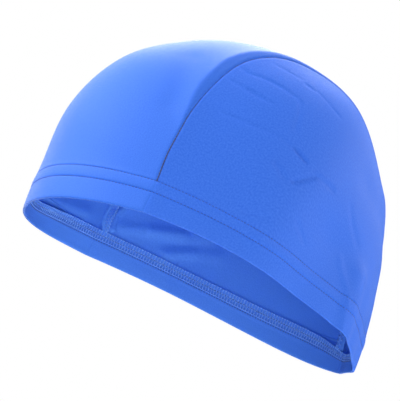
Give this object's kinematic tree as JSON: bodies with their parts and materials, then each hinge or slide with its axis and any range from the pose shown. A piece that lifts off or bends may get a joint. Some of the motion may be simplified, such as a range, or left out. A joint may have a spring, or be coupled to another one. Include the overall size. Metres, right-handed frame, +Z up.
{
  "type": "swim cap",
  "caption": "Stretch-cloth swim cap in its worn dome shape, with a centre panel, D-shaped side panels, inner seams and a turned-in hem round the opening.",
  "frame": {"origin": "inside top of the crown, where the top of the head carries the cap", "axes": "+Z up, the forehead towards -Y, the wearer's left ear towards +X, the cap worn with its forehead edge raised"},
  "size_m": [0.1552, 0.204, 0.1865],
  "materials": {
    "centre_cloth": "fine blue stretch knit with a soft sheen",
    "side_cloth": "the same knit, a little deeper in tone",
    "seam_edge": "two cut edges bound with overlock thread"
  },
  "bodies": {
    "root": {"centre_panel": "centre_cloth", "left_side_panel": "side_cloth", "right_side_panel": "side_cloth", "left_seam_allowance": "seam_edge", "right_seam_allowance": "seam_edge"}
  },
  "joints": []
}
